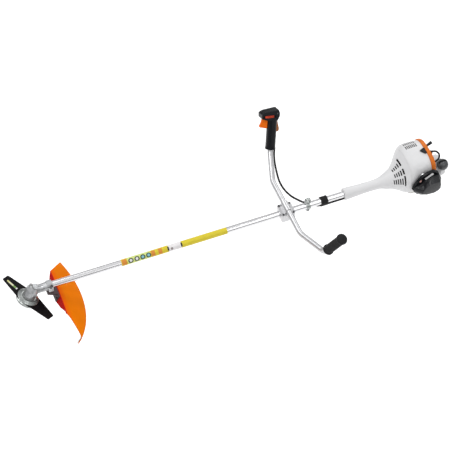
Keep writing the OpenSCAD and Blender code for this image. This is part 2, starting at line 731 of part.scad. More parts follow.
module cylinder_block() {
  translate([crank_x, 0, 30]) rounded_bar([56, 52, 6], 8);
  translate([crank_x, 0, 30]) cylinder(r = 22, h = 60);
  cylinder_fins();
  translate([crank_x - 12, -31, 50]) cube([24, 16, 24]);
  translate([crank_x - 12, 15, 42]) cube([24, 14.9, 24]);
  translate([crank_x, 0, 80]) rounded_bar([44, 34, 13], 8);
}

module engine_cylinder() color(cast) on_tube() difference() {
  cylinder_block();
  translate([crank_x, 0, 29]) cylinder(r = bore_r, h = 51);
  translate([crank_x, -40, 62]) rotate([-90, 0, 0]) cylinder(r = 8, h = 30);
  translate([crank_x, 10, 54]) rotate([-90, 0, 0]) cylinder(r = 9, h = 30);
  translate([crank_x + 8, 0, 84]) rotate([0, 80, 0]) cylinder(r = 5 + eps, h = 60);
}

module piston() color("lightgray") on_tube(crank_x) difference() {
  translate([0, 0, 54]) cylinder(r = bore_r - run_fit, h = 24);
  translate([0, 0, 50]) cylinder(r = 13, h = 22);
  for (z = [71, 75])
    translate([0, 0, z]) ring(bore_r + cut, bore_r - 1, 1.2);
}

module flywheel() color(cast) along_tube(376) difference() {
  union() {
    cylinder(r = 12, h = 20);
    translate([0, 0, 14]) cylinder(r = 48, h = 5);
    for (i = [0:15])
      rotate([0, 0, i * 22.5]) translate([22, -1, 2]) cube([25, 2, 13]);
  }
  translate([0, 0, -cut]) cylinder(r = crank_r + eps, h = 30);
}

module clutch_carrier() color(cast) along_tube(352) difference() {
  union() {
    cylinder(r = 9, h = 23.9);
    translate([0, 0, 14]) cylinder(r = 25, h = 4);
    for (a = [90, 270])
      rotate([0, 0, a]) translate([17, 0, 2]) cylinder(r = 3, h = 13);
  }
  translate([0, 0, 15.5]) cylinder(r = crank_r + eps, h = 12);
}

// One centrifugal shoe, hung on the carrier's pin at local +Y and open at its other end
module clutch_shoe() {
  difference() {
    union() {
      intersection() {
        ring(26, 11, 9);
        translate([1.2, -10, 0]) cube([40, 60, 9]);
      }
      translate([0, 17, 0]) cylinder(r = 5.6, h = 9);
    }
    translate([0, 17, -cut]) cylinder(r = 3 + run_fit, h = 12);
  }
}

module clutch_shoe_lower() color("dimgray") along_tube(354.5) clutch_shoe();

module clutch_shoe_upper() color("dimgray") along_tube(354.5) rotate([0, 0, 180]) clutch_shoe();

module clutch_drum() color(steel) {
  along_tube(318) ring(hub_r, shaft_r + eps, 27);
  along_tube(344.9) ring(30, shaft_r + eps, 4);
  along_tube(348.8) ring(30, 27.8, 16);
}

module spark_plug() color("white") on_tube() translate([crank_x + 8, 0, 84]) rotate([0, 80, 0]) {
  translate([0, 0, 6]) cylinder(r = 5, h = 20);
  translate([0, 0, 25.5]) cylinder(r = 9, h = 8, $fn = 6);
  translate([0, 0, 33.4]) cylinder(r = 5, h = 22);
}

module ignition_lead() color(black) on_tube() difference() {
  union() {
    translate([crank_x + 8, 0, 84]) rotate([0, 80, 0]) translate([0, 0, 40]) cylinder(r = 8.5, h = 22);
    swept_tube(curve(LEAD, 2), 3.5, 8);
  }
  translate([crank_x + 8, 0, 84]) rotate([0, 80, 0]) translate([0, 0, 30]) cylinder(r = 5 + eps, h = 25.5);
}

module ignition_coil() color(black) on_tube(391) difference() {
  union() {
    translate([0, -15, 50.5]) cube([11, 30, 14]);
    for (y = [-14, 6])
      translate([2, y, 48.7]) cube([7, 8, 3]);
  }
  rotate([0, 90, 0]) translate([0, 0, -cut]) cylinder(r = 48.6, h = 20);
}

module muffler() color("dimgray") on_tube() {
  hull() for (x = [430, 474], y = [36, 72], z = [30, 66])
    translate([x, y, z]) sphere(r = 6, $fn = 24);
  translate([crank_x - 10, 29.95, 44]) cube([20, 4, 20]);
  translate([452, 74, 40]) rotate([-90, 0, 0]) ring(6, 4, 12);
}

module carburettor() color("lightgray") on_tube() difference() {
  union() {
    translate([crank_x - 16, -60, 46]) cube([32, 24, 30]);
    translate([crank_x - 13, -36.1, 52]) cube([26, 5.08, 22]);
    translate([crank_x, -53, 40]) cylinder(r = 12, h = 8);
    translate([crank_x, -59.9, 62]) rotate([90, 0, 0]) cylinder(r = 11, h = 14);
  }
  translate([crank_x, -80, 62]) rotate([-90, 0, 0]) cylinder(r = 8, h = 60);
  translate([crank_x, -50, 70]) cylinder(r = 2 + run_fit, h = 10);
}

module throttle_lever() color(steel) on_tube() translate([crank_x, -50, 0]) {
  translate([0, 0, 71]) cylinder(r = 2, h = 8);
  translate([-3, -3, 76.4]) cube([18, 6, 1.8]);
}

// ---------- air filter ----------

module plate_y(points, y_low, y_high) {
  translate([0, y_high, 0]) rotate([90, 0, 0]) linear_extrude(y_high - y_low) polygon(points);
}

module filter_housing() color(black) on_tube() difference() {
  union() {
    plate_y(filter_outline, -92, -81.5);
    plate_y([[405, 16], [414, 35], [429, 38], [438, 45], [448, 56], [461, 64], [474, 71], [504, 65], [512, 44],
      [514, 18], [511, 1], [502, -19], [476, -25], [441, -18], [416, -2]], -82, -74);
  }
  // pocket of the filter element
  plate_y([[408, 18], [416, 32], [430, 35], [440, 42], [450, 53], [462, 61], [474, 68], [502, 63], [509, 44],
    [511, 18], [508, 2], [500, -16], [476, -22], [442, -15], [418, 0]], -93, -79);
  // recess with the choke lever and the primer bulb
  plate_y([[420, 44], [424, 60], [436, 74], [458, 87], [484, 90], [498, 78], [499, 73], [472, 77.5], [458, 70],
    [444, 60], [436, 48], [428, 43]], -93, -86);
  translate([crank_x, -75, 62]) rotate([-90, 0, 0]) cylinder(r = 8, h = 20, center = true);
  translate([choke_at[0], -84, choke_at[1]]) rotate([-90, 0, 0])
    cylinder(r = 3 + run_fit, h = 20, center = true);
  translate([primer_at[0], -87, primer_at[1]]) rotate([-90, 0, 0]) cylinder(r = 7, h = 4.7);
}

module filter_element() color("wheat") on_tube()
  plate_y([[420, 14], [432, 32], [446, 44], [462, 56], [496, 58], [504, 40], [502, 6], [494, -10], [474, -16],
    [448, -9]], -92, -79.5);

module filter_cover() color(black) on_tube() difference() {
  union() {
    plate_y(cover_outline, -98, -92.2);
    hull() {
      plate_y([[403, 18], [412, 34], [428, 38], [450, 55], [474, 69], [504, 65], [511, 48], [514, 20], [512, 0],
        [507, -14], [496, -23], [476, -26], [441, -18], [417, -2]], -99, -97.8);
      plate_y([[424, 16], [440, 46], [459, 60], [499, 58], [503, 42], [503, 20], [494, 9], [478, 2], [446, 5]],
        -122, -118);
    }
  }
  hull() {
    plate_y([[408, 18], [416, 31], [430, 34], [451, 50], [474, 64], [500, 60], [506, 46], [509, 20], [507, 2],
      [502, -10], [492, -18], [476, -21], [443, -13], [420, 1]], -98, -91);
    plate_y([[430, 17], [444, 42], [461, 55], [495, 54], [499, 40], [499, 22], [491, 12], [477, 6], [449, 9]],
      -118, -116);
  }
}

module choke_lever() color("white") on_tube() translate([choke_at[0], -95, choke_at[1]]) {
  rotate([-90, 0, 0]) cylinder(r = 3, h = 13);
  rotate([-90, 0, 0]) cylinder(r = 5, h = 2.6);
  rotate([0, -34, 0]) translate([-33, 0, -2.8]) cube([33, 2.6, 8.6]);
}

module primer_bulb() color("mistyrose") on_tube()
  translate([primer_at[0], -84.5, primer_at[1]]) rotate([90, 0, 0]) {
  cylinder(r = 6.5, h = 1.6);
  translate([0, 0, 1.6]) intersection() {
    sphere(r = 6);
    cylinder(r = 8, h = 8);
  }
}

// ---------- fuel ----------

module fuel_tank() color("whitesmoke") on_tube() difference() {
  union() {
    translate([481, 11, -92]) rounded_bar(tank_size, 16);
    translate([500, 48, -70]) rotate([-90, 0, 0]) cylinder(r = 15, h = 8);
  }
  translate([481, 11, -90]) rounded_bar(tank_size - [4, 4, 4], 14);
  translate([500, 40, -70]) rotate([-90, 0, 0]) cylinder(r = 12, h = 30);
}

module fuel_cap() color(black) on_tube() translate([500, 56.3, -70]) rotate([-90, 0, 0]) {
  difference() {
    union() {
      cylinder(r = 19, h = 11);
      translate([0, 0, 10.9]) rounded_bar([32, 7, 4], 3);
    }
    for (i = [0:11])
      rotate([0, 0, i * 30]) translate([20, 0, -cut]) cylinder(r = 2.4, h = 11);
  }
  translate([0, 0, -6]) cylinder(r = 12 - 0.05, h = 7);
}

// ---------- starter ----------

module starter_pulley() color("ivory") along_tube(541) difference() {
  union() {
    cylinder(r = 36, h = 2);
    cylinder(r = 30, h = 10);
    translate([0, 0, 8]) cylinder(r = 36, h = 2);
  }
  translate([0, 0, -cut]) cylinder(r = crank_r, h = 14);
}

module starter_rope() color("white") on_tube() translate([546, -43, 30]) cylinder(r = 1.6, h = 9.9);

module starter_grip() color(black) on_tube() translate([546, -43, 54]) difference() {
  intersection() {
    sphere(r = 23);
    translate([-30, -30, -14]) cube([60, 60, 60]);
  }
  translate([-30, -4, 13]) cube([60, 8, 20]);
}

gearbox_housing();
grease_plug();
pinion_gear();
crown_gear();
output_spindle();
gearbox_bearings();
thrust_plate();
blade();
rider_plate();
collar_nut();
deflector_bracket();
deflector_shell();
line_knife();
drive_tube();
drive_shaft();
shaft_bushes();
carrying_eyelet();
cable_clip();
clamp_screws();
handlebar_seat();
handlebar_cap();
handlebar();
left_grip();
control_shell_left();
control_shell_right();
hood_latches();
throttle_trigger();
lock_lever();
stop_slide();
throttle_cable();
fan_housing();
engine_hood();
hood_band();
starter_housing();
crankcase();
crank_bearings();
crankshaft();
engine_cylinder();
piston();
flywheel();
clutch_carrier();
clutch_shoe_lower();
clutch_shoe_upper();
clutch_drum();
spark_plug();
ignition_lead();
ignition_coil();
muffler();
carburettor();
throttle_lever();
filter_housing();
filter_element();
filter_cover();
choke_lever();
primer_bulb();
fuel_tank();
fuel_cap();
starter_pulley();
starter_rope();
starter_grip();
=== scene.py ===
import json
import math

import bmesh
import bpy
from mathutils import Matrix, Vector

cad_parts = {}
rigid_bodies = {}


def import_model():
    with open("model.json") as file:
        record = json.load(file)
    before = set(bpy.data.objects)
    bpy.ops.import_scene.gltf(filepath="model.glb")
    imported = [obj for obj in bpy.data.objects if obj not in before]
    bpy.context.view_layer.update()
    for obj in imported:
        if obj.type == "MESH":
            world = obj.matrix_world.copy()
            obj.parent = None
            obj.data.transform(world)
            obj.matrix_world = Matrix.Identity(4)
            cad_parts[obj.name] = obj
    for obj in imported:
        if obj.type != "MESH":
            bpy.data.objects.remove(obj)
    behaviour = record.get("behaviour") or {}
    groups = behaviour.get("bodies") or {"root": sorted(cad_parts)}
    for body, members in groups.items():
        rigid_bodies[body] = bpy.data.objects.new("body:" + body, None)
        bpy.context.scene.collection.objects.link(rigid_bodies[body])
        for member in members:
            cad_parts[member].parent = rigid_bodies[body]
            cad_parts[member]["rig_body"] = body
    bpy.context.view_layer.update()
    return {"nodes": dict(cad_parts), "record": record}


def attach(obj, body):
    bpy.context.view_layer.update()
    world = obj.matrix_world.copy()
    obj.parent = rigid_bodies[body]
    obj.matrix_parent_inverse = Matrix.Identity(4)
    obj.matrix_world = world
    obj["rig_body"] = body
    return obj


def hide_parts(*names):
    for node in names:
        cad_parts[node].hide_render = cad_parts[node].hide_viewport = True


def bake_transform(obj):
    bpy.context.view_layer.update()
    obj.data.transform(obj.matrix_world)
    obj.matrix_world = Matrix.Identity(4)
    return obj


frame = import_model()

MM = 0.001
EYELET = 28.0          # height of the eyelet's hole over the tube's axis, the frame's origin
TUBE_R = 12.7          # outer radius of the drive tube
HEAD = -1100.0         # place of the gear axes along the tube
HEAD_TILT = math.radians(30)
scene = bpy.context.scene
scene.view_settings.view_transform = "Standard"
scene.view_settings.look = "None"


# ---------- places ----------

def tube(x, y=0.0, z=0.0):
    """A point given in millimetres from the tube's axis."""
    return Vector((x, y, z - EYELET)) * MM


def head(u, v, w):
    """A point in the gearhead's own axes: w runs up the spindle."""
    c, s = math.cos(HEAD_TILT), math.sin(HEAD_TILT)
    return tube(HEAD + u * c + w * s, v, -u * s + w * c)


# the middle of the handlebar's right bend, and the way its right end runs from there
BEND = Vector((-47, 266, 54))
UP_BAR = Vector((0.208, 0.400, 0.892)).normalized()


def grip(side, x, y, z):
    """A point in the axes of one end of the handlebar: z runs up the bar."""
    turn = side * math.atan2(UP_BAR.y, UP_BAR.x)
    lean = Matrix.Rotation(math.acos(UP_BAR.z), 3, "Y")
    m = Matrix.Rotation(turn, 3, "Z") @ lean @ Matrix.Rotation(-turn, 3, "Z")
    p = Vector((BEND.x, side * BEND.y, BEND.z)) + m @ Vector((x, y, z))
    return tube(*p)


# ---------- camera, floor and light ----------

def look(obj, target):
    obj.rotation_euler = (Vector(target) - obj.location).to_track_quat("-Z", "Y").to_euler()


AZIMUTH, ELEVATION, DISTANCE = math.radians(-21.4), math.radians(52), 6.0
back = Vector((math.sin(AZIMUTH) * math.cos(ELEVATION), -math.cos(AZIMUTH) * math.cos(ELEVATION),
               math.sin(ELEVATION)))
aim = Vector((-0.3157, 0.0602, -0.0742))
cam = bpy.data.objects.new("camera", bpy.data.cameras.new("camera"))
scene.collection.objects.link(cam)
cam.data.lens, cam.data.sensor_width = 125.4, 36
cam.location = aim + back * DISTANCE
look(cam, aim)
scene.camera = cam

world = bpy.data.worlds.new("studio")
scene.world = world
world.use_nodes = True
wn, wl = world.node_tree.nodes, world.node_tree.links
ramp = wn.new("ShaderNodeValToRGB")
coord = wn.new("ShaderNodeTexCoord")
split = wn.new("ShaderNodeSeparateXYZ")
wl.new(coord.outputs["Generated"], split.inputs[0])
wl.new(split.outputs["Z"], ramp.inputs[0])
wl.new(ramp.outputs[0], wn["Background"].inputs[0])
# brightness of the surroundings against the height of the line of sight: a dark band over a pale floor
stops = [(0.0, 0.66), (0.05, 0.10), (0.22, 0.14), (0.38, 0.90), (1.0, 1.0)]
while len(ramp.color_ramp.elements) < len(stops):
    ramp.color_ramp.elements.new(0.5)
for e, (at, v) in zip(ramp.color_ramp.elements, stops):
    e.position, e.color = at, (v, v, v * 1.01, 1)
wn["Background"].inputs[1].default_value = 0.80


def area(name, place, target, size, power):
    """A round soft lamp; size in metres, power in watts."""
    lamp = bpy.data.lights.new(name, "AREA")
    lamp.shape, lamp.size, lamp.energy = "DISK", size, power
    o = bpy.data.objects.new(name, lamp)
    o.location = place
    look(o, target)
    scene.collection.objects.link(o)


area("key", (-1.6, 1.7, 3.4), (-0.3, 0, -0.1), 2.2, 38)
area("fill", (0.9, -2.6, 2.6), (-0.3, 0, -0.1), 2.6, 15)
area("back_light", (2.4, 2.4, 2.2), (-0.2, 0, 0), 2.0, 20)
area("top_light", (0.9, -0.5, 3.0), (0.45, 0, 0), 0.7, 7)
area("head_light", (-1.5, -0.6, 2.6), (-1.1, 0, -0.05), 0.7, 8)


# ---------- materials ----------

SLOTS = [m["slot"] for m in frame["record"]["materials"]]
NODE_SLOT = {s["node"]: s["material_slot"] for s in frame["record"]["subparts"]}
materials = {}


def link(t, a, b):
    t.links.new(a, b)


def finish(name, colour, rough, metal=0.0, vary=0.06, patch=35.0, grain=900.0, bump=0.05, edge_wear_and_highlight=None,
           rough_vary=0.08, coat=0.0, clear=0.0, streak=None, hollow_shade=0.0, spec=0.5, glow=0.0, zones=None):
    """A material with colour in patches, a fine grain in its gloss and relief, lighter broken edges that are
    partly wear and partly painted highlight, and painted shade in its hollows.

    patch and grain are in cycles a metre; streak stretches them along an axis; zones paints places."""
    m = bpy.data.materials.new(name)
    m.use_nodes = True
    t = m.node_tree
    n = t.nodes
    shader = n["Principled BSDF"]
    place = n.new("ShaderNodeTexCoord").outputs["Object"]
    if streak:
        stretch = n.new("ShaderNodeMapping")
        stretch.inputs["Scale"].default_value = streak
        link(t, place, stretch.inputs[0])
        grained = stretch.outputs[0]
    else:
        grained = place

    def noise(scale, detail, where):
        x = n.new("ShaderNodeTexNoise")
        x.inputs["Scale"].default_value = scale
        x.inputs["Detail"].default_value = detail
        link(t, where, x.inputs["Vector"])
        return x.outputs[0]

    def remap(value, a, b, c, d):
        x = n.new("ShaderNodeMapRange")
        for i, v in enumerate((a, b, c, d), 1):
            x.inputs[i].default_value = v
        link(t, value, x.inputs[0])
        return x.outputs[0]

    def mix(factor, a, b):
        x = n.new("ShaderNodeMix")
        x.data_type = "RGBA"
        link(t, factor, x.inputs[0])
        for socket, v in ((x.inputs[6], a), (x.inputs[7], b)):
            if isinstance(v, tuple):
                socket.default_value = v
            else:
                link(t, v, socket)
        return x.outputs[2]

    def shade(k):
        return tuple(min(1.0, c * k) for c in colour) + (1.0,)

    patches = noise(patch, 4, place)
    fine = noise(grain, 3, grained)
    out = mix(remap(patches, 0.32, 0.68, 0, 1), shade(1 - vary), shade(1 + vary))
    out = mix(remap(fine, 0.35, 0.75, 0, 0.35), out, shade(1 - 2.2 * vary))
    if zones:
        out = zones(t, place, out, mix, remap)
    gloss = remap(fine, 0.3, 0.7, rough - rough_vary, rough + rough_vary)
    # lighter broken colour on sharp edges: partly wear, partly a painted highlight
    if edge_wear_and_highlight:
        round_off = n.new("ShaderNodeBevel")
        round_off.samples = 3
        round_off.inputs[0].default_value = 0.0011
        face = n.new("ShaderNodeNewGeometry")
        dot = n.new("ShaderNodeVectorMath")
        dot.operation = "DOT_PRODUCT"
        link(t, round_off.outputs[0], dot.inputs[0])
        link(t, face.outputs["Normal"], dot.inputs[1])
        edge = remap(dot.outputs["Value"], 0.995, 0.90, 0, 1)
        broken = n.new("ShaderNodeMath")
        broken.operation = "MULTIPLY"
        link(t, edge, broken.inputs[0])
        link(t, remap(noise(patch * 6, 4, place), 0.42, 0.62, 0, 0.8), broken.inputs[1])
        out = mix(broken.outputs[0], out, edge_wear_and_highlight + (1.0,))
    # painted shade: hollows found by ambient occlusion are darkened toward a dark brown
    if hollow_shade:
        hollow = n.new("ShaderNodeAmbientOcclusion")
        hollow.samples = 4
        hollow.inputs["Distance"].default_value = 0.012
        out = mix(remap(hollow.outputs["AO"], 0.85, 0.35, 0, hollow_shade), out, (0.16, 0.14, 0.11, 1.0))
    link(t, out, shader.inputs["Base Color"])
    link(t, gloss, shader.inputs["Roughness"])
    shader.inputs["Metallic"].default_value = metal
    shader.inputs["Specular IOR Level"].default_value = spec
    if glow:
        shader.inputs["Emission Color"].default_value = colour + (1.0,)
        shader.inputs["Emission Strength"].default_value = glow
    shader.inputs["Coat Weight"].default_value = coat
    shader.inputs["Coat Roughness"].default_value = 0.12
    shader.inputs["Transmission Weight"].default_value = clear
    relief = n.new("ShaderNodeBump")
    relief.inputs["Strength"].default_value = 0.6
    relief.inputs["Distance"].default_value = bump * MM
    link(t, fine, relief.inputs["Height"])
    link(t, relief.outputs[0], shader.inputs["Normal"])
    materials[name] = m
    return m


def distance(t, place, origin, direction):
    """How far a point lies from origin along a direction, in metres."""
    away = t.nodes.new("ShaderNodeVectorMath")
    away.operation = "SUBTRACT"
    away.inputs[1].default_value = tuple(origin)
    link(t, place, away.inputs[0])
    along = t.nodes.new("ShaderNodeVectorMath")
    along.operation = "DOT_PRODUCT"
    along.inputs[1].default_value = tuple(direction)
    link(t, away.outputs[0], along.inputs[0])
    return along.outputs["Value"]


def deflector_painted_shade(t, place, out, mix, remap):
    """Painted shade: the front wall is painted a deep red and the sheet is blended redder toward its front
    edge, standing for the shade on that side.
    """
    back = distance(t, place, head(0, 0, 0), head(1000, 0, 0) - head(0, 0, 0))
    # painted shade: redder toward the front edge, deep red on the front wall
    out = mix(remap(back, 0.132, 0.108, 0, 0.75), out, (0.80, 0.085, 0.002, 1.0))
    return mix(remap(back, 0.1075, 0.1062, 0, 1), out, (0.50, 0.012, 0.010, 1.0))


def bracket_zones(t, place, out, mix, remap):
    """The bracket's clamp round the socket is bare cast metal, and its lower plates are dark."""
    return mix(remap(distance(t, place, tube(0, 0, 0), Vector((0, 0, 1))), -0.006, -0.001, 0, 1),
               out, (0.42, 0.43, 0.44, 1.0))


finish("cast_alloy", (0.50, 0.51, 0.52), 0.36, metal=0.8, vary=0.14, patch=75, grain=650, bump=0.16,
       edge_wear_and_highlight=(0.74, 0.75, 0.76), hollow_shade=0.7)
finish("steel", (0.62, 0.62, 0.62), 0.30, metal=0.9, vary=0.06, patch=90, grain=1400, bump=0.02)
finish("disc_steel", (0.36, 0.38, 0.37), 0.30, metal=0.9, vary=0.10, patch=60, grain=900, bump=0.03,
       edge_wear_and_highlight=(0.72, 0.73, 0.73))
finish("bearing_steel", (0.62, 0.64, 0.66), 0.20, metal=1.0, vary=0.04)
finish("blade_paint", (0.005, 0.004, 0.005), 0.46, vary=0.25, patch=50, grain=600, bump=0.05, spec=0.08,
       edge_wear_and_highlight=(0.10, 0.09, 0.10), rough_vary=0.10)
finish("dark_steel", (0.10, 0.10, 0.105), 0.42, metal=0.75, vary=0.14, patch=80, grain=900, bump=0.05,
       edge_wear_and_highlight=(0.42, 0.42, 0.43))
finish("bracket_alloy", (0.085, 0.055, 0.06), 0.46, metal=0.3, vary=0.14, patch=90, grain=700, bump=0.12,
       edge_wear_and_highlight=(0.34, 0.30, 0.30), hollow_shade=0.4, spec=0.3, zones=bracket_zones)
finish("orange_plastic", (0.80, 0.185, 0.0), 0.55, vary=0.07, patch=14, grain=1100, bump=0.03, spec=0.02,
       zones=deflector_painted_shade)
finish("band_plastic", (0.68, 0.17, 0.02), 0.46, vary=0.12, patch=60, grain=1100, bump=0.06, spec=0.15)
finish("trigger_plastic", (0.90, 0.16, 0.002), 0.40, vary=0.05, patch=40, grain=1100, bump=0.04, spec=0.12)
finish("red_plastic", (0.66, 0.06, 0.02), 0.34, vary=0.07, patch=60, grain=1100, bump=0.04, spec=0.3)
finish("brown_plastic", (0.36, 0.12, 0.035), 0.42, vary=0.08, patch=60, grain=1100, bump=0.05, spec=0.25)
finish("tube_alloy", (0.75, 0.75, 0.76), 0.22, metal=1.0, vary=0.02, patch=8, grain=60, bump=0.0,
       streak=(0.05, 1, 1), rough_vary=0.03)
finish("bar_alloy", (0.60, 0.60, 0.61), 0.34, metal=0.85, vary=0.03, patch=12, grain=800, bump=0.01)
finish("nylon", (0.78, 0.77, 0.72), 0.50, vary=0.04)
finish("black_rubber", (0.012, 0.012, 0.013), 0.62, vary=0.20, patch=60, grain=1500, bump=0.10,
       spec=0.22, hollow_shade=0.1)
finish("black_plastic", (0.007, 0.008, 0.010), 0.28, vary=0.16, patch=40, grain=1600, bump=0.06,
       rough_vary=0.06, spec=0.20)
finish("filter_plastic", (0.010, 0.011, 0.013), 0.30, vary=0.16, patch=40, grain=1600, bump=0.06,
       rough_vary=0.06, spec=0.42)
finish("grip_plastic", (0.055, 0.057, 0.060), 0.27, vary=0.12, patch=40, grain=1600, bump=0.05,
       spec=0.6)
finish("white_plastic", (0.70, 0.70, 0.705), 0.36, vary=0.018, patch=14, grain=1500, bump=0.04,
       rough_vary=0.06, spec=0.35, hollow_shade=0.2)
finish("ceramic", (0.88, 0.87, 0.84), 0.18, vary=0.02, coat=0.4)
finish("clear_rubber", (0.78, 0.44, 0.40), 0.22, vary=0.05, clear=0.25)
finish("felt", (0.62, 0.55, 0.38), 0.90, vary=0.14, patch=200, grain=1300, bump=0.5)
finish("tank_plastic", (0.72, 0.71, 0.67), 0.40, vary=0.03, patch=12, grain=900, bump=0.04, clear=0.12)
finish("rope_fibre", (0.70, 0.69, 0.66), 0.75, vary=0.10, patch=300, grain=1600, bump=0.2)
LABEL_COLOURS = {
    "yellow": (0.68, 0.56, 0.035), "orange": (0.66, 0.25, 0.04), "green": (0.62, 0.70, 0.24),
    "blue": (0.22, 0.50, 0.58), "grey": (0.30, 0.26, 0.26), "moss": (0.05, 0.08, 0.05),
    "white": (0.78, 0.76, 0.76), "dark": (0.025, 0.024, 0.025), "pale": (0.58, 0.56, 0.24),
    "cream": (0.70, 0.70, 0.46), "leaf": (0.20, 0.34, 0.10)}
for name, colour in LABEL_COLOURS.items():
    finish("label_" + name, colour, 0.36, vary=0.05, patch=60, grain=700, bump=0.01, spec=0.25)
# painted shade colour for the sheet behind the fan cover's slots and for the grip's groove
finish("liner_black", (0.012, 0.012, 0.013), 0.8, vary=0.15, patch=80, grain=900, bump=0.05, spec=0.1)
# painted shade colour for the sheet behind the hood's slots
finish("slot_liner", (0.030, 0.012, 0.010), 0.6, vary=0.12, patch=80, grain=900, bump=0.08, spec=0.2)
finish("floor_paper", (0.94, 0.94, 0.94), 0.9, vary=0.004, patch=2, grain=90, bump=0.0, spec=0.0, glow=0.34)

for name, obj in frame["nodes"].items():
    obj.data.materials.clear()
    obj.data.materials.append(materials[NODE_SLOT[name]])


# ---------- building pieces ----------

def piece(name, me, material, body="frame", angle=32, stands_for=(), slot=None):
    """A finished object from a mesh, riding on a body, smooth where its faces meet below an angle."""
    o = bpy.data.objects.new(name, me)
    scene.collection.objects.link(o)
    me.materials.clear()
    me.materials.append(materials[material])
    me.shade_smooth()
    me.set_sharp_from_angle(angle=math.radians(angle))
    if body:
        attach(o, body)
    if stands_for:
        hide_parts(*stands_for)
    slot = slot or (material if material in SLOTS else None)
    return o


def raw_mesh(name, points, faces):
    me = bpy.data.meshes.new(name)
    me.from_pydata([tuple(p) for p in points], [], faces)
    bm = bmesh.new()
    bm.from_mesh(me)
    bmesh.ops.recalc_face_normals(bm, faces=bm.faces)
    bm.to_mesh(me)
    bm.free()
    return me


def edge_round(o, width, segments=2):
    """Rounds an object's sharp edges, width in millimetres."""
    b = o.modifiers.new("edges", "BEVEL")
    b.width, b.segments, b.limit_method = width * MM, segments, "ANGLE"
    b.angle_limit = math.radians(30)
    b.harden_normals = True
    b.use_clamp_overlap = True


def detail(node, material=None, width=0.8, segments=2):
    """A CAD node's own solid with merged faces, rounded edges and smooth shading."""
    src = frame["nodes"][node].data
    me = bpy.data.meshes.new(node + "_detail")
    me.from_pydata([tuple(v.co) for v in src.vertices], [], [tuple(f.vertices) for f in src.polygons])
    bm = bmesh.new()
    bm.from_mesh(me)
    bmesh.ops.remove_doubles(bm, verts=bm.verts, dist=2e-6)
    bmesh.ops.dissolve_limit(bm, angle_limit=math.radians(0.6), verts=bm.verts, edges=bm.edges)
    bmesh.ops.recalc_face_normals(bm, faces=bm.faces)
    bm.to_mesh(me)
    bm.free()
    o = piece(node + "_detail", me, material or NODE_SLOT[node], frame["nodes"][node]["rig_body"],
              stands_for=(node,), slot=NODE_SLOT[node])
    if width:
        edge_round(o, width, segments)


def skin(rings, closed=True, caps=True):
    """Points and faces of a lofted surface through rings of equal length."""
    n = len(rings[0])
    points = [p for r in rings for p in r]
    faces = []
    for i in range(len(rings) - 1):
        for j in range(n if closed else n - 1):
            k = (j + 1) % n
            faces.append((i * n + j, i * n + k, (i + 1) * n + k, (i + 1) * n + j))
    if caps and closed:
        faces.append(tuple(range(n)))
        faces.append(tuple((len(rings) - 1) * n + j for j in range(n)))
    return points, faces


def curve_points(path, steps):
    """A Catmull-Rom curve through a path's points."""
    out = []
    for i in range(len(path) - 1):
        p0, p1, p2, p3 = path[max(i - 1, 0)], path[i], path[i + 1], path[min(i + 2, len(path) - 1)]
        for k in range(steps):
            s = k / steps
            out.append(0.5 * (2 * p1 + (p2 - p0) * s + (2 * p0 - 5 * p1 + 4 * p2 - p3) * s * s
                              + (3 * p1 - p0 - 3 * p2 + p3) * s ** 3))
    return out + [path[-1]]


def swept(path, radius, sides=20):
    """Rings round a path, carried along it without twist. radius is a number or one number a ring."""
    rings, side = [], None
    for i, p in enumerate(path):
        d = (path[min(i + 1, len(path) - 1)] - path[max(i - 1, 0)]).normalized()
        if side is None:
            side = d.orthogonal().normalized()
        side = (side - d * side.dot(d)).normalized()
        other = d.cross(side)
        r = radius[i] if isinstance(radius, list) else radius
        rings.append([p + (side * math.cos(a) + other * math.sin(a)) * r
                      for a in (2 * math.pi * j / sides for j in range(sides))])
    return rings


def lathe(profile, place, sides=72):
    """Rings of (radius, height) points turned round an axis; place maps local millimetres to the frame."""
    return [[place(max(r, 0.01) * math.cos(a), max(r, 0.01) * math.sin(a), h)
             for a in (2 * math.pi * j / sides for j in range(sides))] for r, h in profile]


def joined(name, parts):
    points, faces = [], []
    for p, f in parts:
        base = len(points)
        points += p
        faces += [tuple(i + base for i in q) for q in f]
    return raw_mesh(name, points, faces)


def block(place, low, high):
    """A box between two corners, as points and faces, for cutting."""
    (a, b, c), (d, e, f) = low, high
    pts = [place(x, y, z) for x in (a, d) for y in (b, e) for z in (c, f)]
    return pts, [(0, 1, 3, 2), (4, 6, 7, 5), (0, 4, 5, 1), (2, 3, 7, 6), (0, 2, 6, 4), (1, 5, 7, 3)]


def boolean(me, other, operation):
    """A new mesh: me with other taken away from it, or kept only inside it."""
    a = bpy.data.objects.new("cut_a", me)
    b = bpy.data.objects.new("cut_b", other)
    for o in (a, b):
        scene.collection.objects.link(o)
    m = a.modifiers.new("cut", "BOOLEAN")
    m.operation, m.solver, m.object = operation, "EXACT", b
    made = bpy.data.meshes.new_from_object(a.evaluated_get(bpy.context.evaluated_depsgraph_get()))
    for o in (a, b):
        bpy.data.objects.remove(o)
    return made


# ---------- engine covers ----------

# rows of place along the tube, centre across and up, half width, half height and squareness
COVER = [
    [150, 0, 0, 21.5, 21.5, 2], [153, 0, 0, 24, 24, 2], [163, 0, 0, 23.8, 23.8, 2],
    [235, 0, 0, 20.5, 20.5, 2], [298, 0, 0, 22, 22, 2], [325, 0, 0, 31, 31, 2],
    [340, 1, 1, 36.5, 36.5, 2], [356, 1, 2, 43.5, 43.5, 2], [374, 3, 5, 56, 56, 2.1],
    [391, 6, 12, 71, 72, 2.4], [404, 10, 20, 80, 81, 2.7], [418, 12, 25, 84, 85, 2.9],
    [436, 13, 26, 84, 86, 3], [470, 12, 26, 83, 87, 3], [497, 11, 26, 80, 86, 3], [506, 10, 26, 78, 83, 3]]


